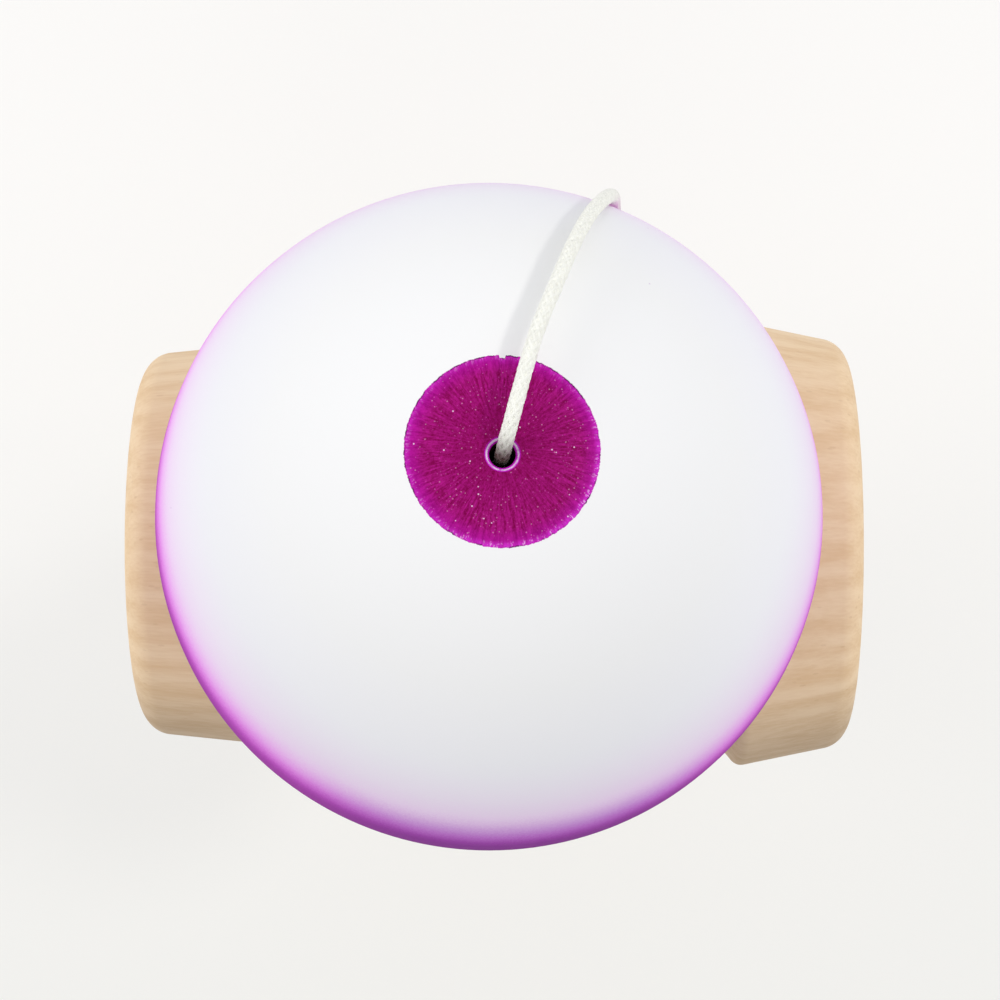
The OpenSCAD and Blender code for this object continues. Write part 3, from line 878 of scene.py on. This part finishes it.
def set_sky():
    """Soft light all round, most from the sides and back, seen as plain off-white."""
    world = bpy.data.worlds.new("studio")
    bpy.context.scene.world = world
    world.use_nodes = True
    nodes = Nodes(world.node_tree)
    way = nodes.unit(nodes.add("ShaderNodeTexCoord", out="Generated"))
    across, deep = nodes.part(way, 0), nodes.part(way, 1)
    sides = nodes.times(across, across)
    back = nodes.math("POWER", nodes.math("MAXIMUM", deep, 0.0), 2.0)
    front = nodes.math("POWER", nodes.math("MINIMUM", deep, 0.0), 4.0)
    strength = nodes.plus(nodes.times(nodes.plus(sides, back), SKY_SIDES),
                          nodes.math("SUBTRACT", SKY_BASE, nodes.times(front, SKY_FRONT_LOSS)))
    light = nodes.add("ShaderNodeBackground", {"Color": SKY_COLOUR, "Strength": strength})
    pale = nodes.add("ShaderNodeBackground", {"Color": SKY_SEEN, "Strength": 1.0})
    sky = nodes.add("ShaderNodeMixShader", {0: seen(nodes), 1: light, 2: pale})
    nodes.add("ShaderNodeOutputWorld", {0: sky})


def set_floor():
    """Plain pale floor, with painted shade that makes it a little darker in front."""
    material, nodes = new_finish("floor_white")
    colour = nodes.mix(nodes.step(nodes.part(nodes.place(), 1), *FLOOR_SHADE_BLEND),
                       FLOOR_FRONT_SHADE, FLOOR_BACK)
    matt = nodes.add("ShaderNodeBsdfDiffuse", {
        "Color": nodes.mix(seen(nodes), FLOOR_BOUNCE, colour)})
    glow = nodes.add("ShaderNodeEmission", {"Color": colour, "Strength": 1.0})
    share = nodes.times(seen(nodes), FLOOR_GLOW)
    surface = nodes.add("ShaderNodeMixShader", {0: share, 1: matt, 2: glow})
    nodes.add("ShaderNodeOutputMaterial", {0: surface})
    mesh = bpy.data.meshes.new("floor")
    corners = [(-1, -1), (1, -1), (1, 1), (-1, 1)]
    mesh.from_pydata([(x * FLOOR_REACH, y * FLOOR_REACH, 0) for x, y in corners], [],
                     [(0, 1, 2, 3)])
    mesh.materials.append(material)
    floor = linked_object("floor", mesh)


def set_panels():
    """A soft panel on each side and in front, turned to the ball."""
    for name, place, size, power in PANELS:
        data = bpy.data.lights.new(name, "AREA")
        data.shape, data.size, data.energy = "DISK", size, power
        data.color = PANEL_COLOUR
        lamp = linked_object(name, data)
        lamp.location = place
        way = Vector(BALL_CENTRE) * MM - Vector(place)
        lamp.rotation_euler = way.to_track_quat("-Z", "Y").to_euler()


set_camera()

TURNING = turning_tree()
BRAIDING = braiding_tree()
STRING_END = string_finish("string_end_braid")

# The free string, from the ball's string hole to the front of the cross-piece
route = ([over_ball(*p) for p in STRING_OVER_BALL] + [Vector(p) for p in STRING_FREE]
         + [Vector((x, TIE_MOUTH_Y + y, CROSS_Z + z)) for x, y, z in STRING_TO_TIE])
string_line = smooth_line(route)
string = braided("braided_string", string_line, string_finish("string_braid", shaded=True))
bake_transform(string)
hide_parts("string")

# Its two ends, each with its knot
ball_end = braided("string_in_ball", smooth_line([
    from_ball((0, 0, BALL_KNOT_AT + KNOT_LEN / 2)),
    from_ball((0, 0, BALL_R - STRING_START - STRING_GAP))]), STRING_END)
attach(ball_end, "string_end")
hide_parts("string_ball_end")
handle_end = braided("string_in_handle", smooth_line([
    (0, TIE_MOUTH_Y + STRING_GAP, CROSS_Z), (0, HANDLE_KNOT_Y - KNOT_LEN / 2, CROSS_Z)]),
    STRING_END, PULLED_SPACING)
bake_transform(handle_end)
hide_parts("string_handle_end")
ball_knot = braided("knot_in_ball", knot_line(from_ball((0, 0, BALL_KNOT_AT)), lean_turn()),
                    STRING_END, closed=True)
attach(ball_knot, "string_end")
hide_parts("ball_knot")
handle_knot = braided("knot_in_handle",
                      knot_line((0, HANDLE_KNOT_Y, CROSS_Z), Euler((QUARTER, 0, 0))),
                      STRING_END, closed=True)
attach(handle_knot, "handle")
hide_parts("handle_knot")

# The bead that stops the string in the ball
bead = turned("stop_bead", bead_outline(), BEAD_STEPS, from_ball((0, 0, BEAD_AT)), lean_turn(),
              bead_finish())
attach(bead, "string_end")
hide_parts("bead")

# The ball, painted inside its hole too
ball = turned("painted_ball", ball_outline(), BALL_STEPS, BALL_CENTRE, lean_turn(), ball_finish())
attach(ball, "ball")
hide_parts("ball")

# The cross-piece, bored for the handle's taper and drilled for the string
cross_cuts = [
    drill("taper_bore", BORE_LOW_R, BORE_TOP_R, (0, 0, SEAT_Z), TAPER_TOP_Z - SEAT_Z),
    drill("bore_mouth", BORE_TOP_R, BORE_TOP_R, (0, 0, TAPER_TOP_Z - CUT_OVERLAP), CUT_LEN),
    drill("grip_recess", RECESS_R, RECESS_R, (0, 0, SEAT_Z - CUT_LEN), CUT_LEN),
    drill("cross_tie_hole", TIE_HOLE_R, TIE_HOLE_R, (0, 0, CROSS_Z), CUT_LEN, (QUARTER, 0, 0)),
]
cross_piece = turned("turned_cross_piece", cross_outline(), CROSS_STEPS, (0, 0, CROSS_Z),
                     Euler((0, QUARTER, 0)),
                     beech_finish("cross_beech", (0, QUARTER, 0), CROSS_SHADE_PITH), cross_cuts)
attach(cross_piece, "cross_piece")
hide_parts("cross_piece")

# The handle, drilled for the string with a pocket for its knot
handle_cuts = [
    drill("handle_tie_hole", TIE_HOLE_R, TIE_HOLE_R, (0, HANDLE_CUT, CROSS_Z), 2 * HANDLE_CUT,
          (QUARTER, 0, 0)),
    drill("knot_pocket", KNOT_POCKET_R, KNOT_POCKET_R, (0, KNOT_POCKET_Y, CROSS_Z), HANDLE_CUT,
          (-QUARTER, 0, 0)),
]
handle = turned("turned_handle", handle_outline(), HANDLE_STEPS, (0, 0, 0), Euler((0, 0, 0)),
                beech_finish("handle_beech", (0, 0, 0), HANDLE_PITH), handle_cuts)
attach(handle, "handle")
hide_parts("handle")

set_sky()
set_floor()
set_panels()
bpy.context.scene.view_settings.view_transform = "Standard"
